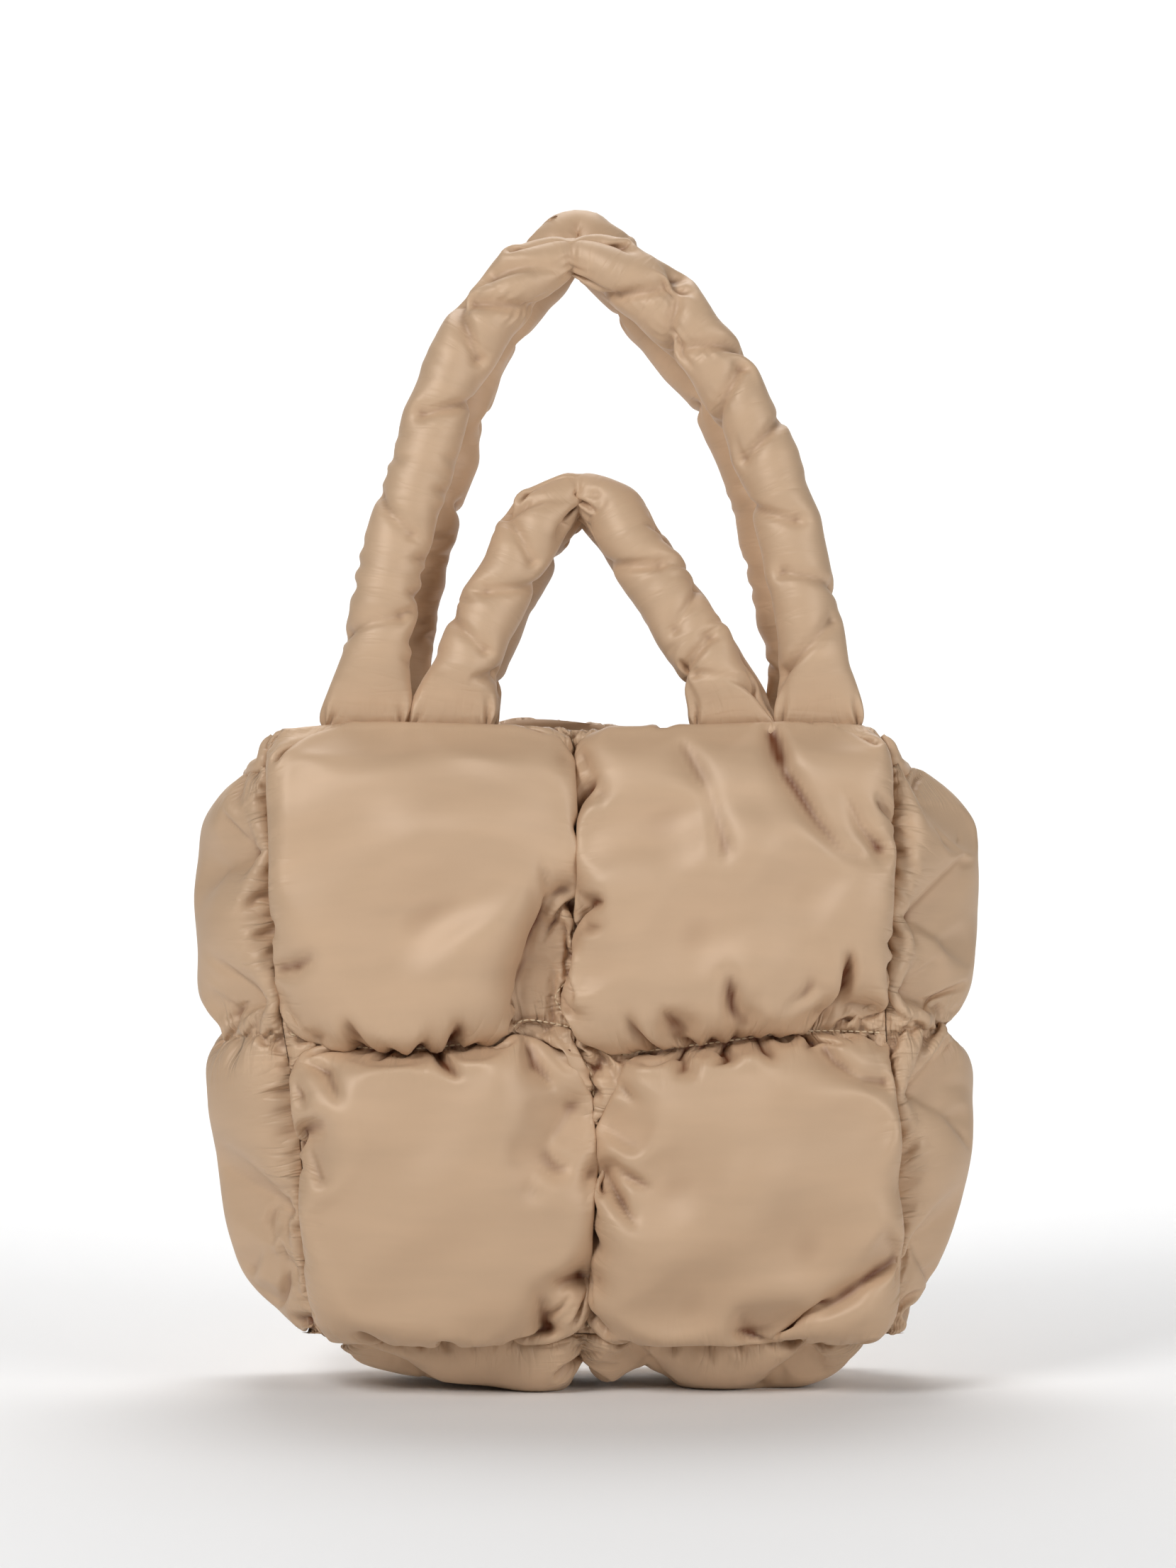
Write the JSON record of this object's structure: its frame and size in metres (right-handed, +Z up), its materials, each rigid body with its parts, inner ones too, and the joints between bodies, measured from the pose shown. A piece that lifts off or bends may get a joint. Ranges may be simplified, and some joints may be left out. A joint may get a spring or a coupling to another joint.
{
  "type": "quilted puffer tote handbag",
  "caption": "Soft padded tote handbag with quilted puffy panels, a puffed gusset, an open top, and paired long shoulder and short hand tube handles.",
  "frame": {"origin": "middle of the base, on the surface that the bag stands on", "axes": "+Z up towards the handles, +X to the right as seen from the front, front towards -Y"},
  "size_m": [0.3933, 0.1668, 0.5915],
  "materials": {
    "panel_satin": "soft satin nylon over padding",
    "gusset_satin": "soft satin nylon over padding",
    "handle_satin": "soft satin nylon tube, stuffed"
  },
  "bodies": {
    "root": {"front_panel": "panel_satin", "back_panel": "panel_satin", "left_gusset": "gusset_satin", "right_gusset": "gusset_satin", "bottom_gusset": "gusset_satin", "front_long_handle": "handle_satin", "back_long_handle": "handle_satin", "front_short_handle": "handle_satin", "back_short_handle": "handle_satin"}
  },
  "joints": []
}
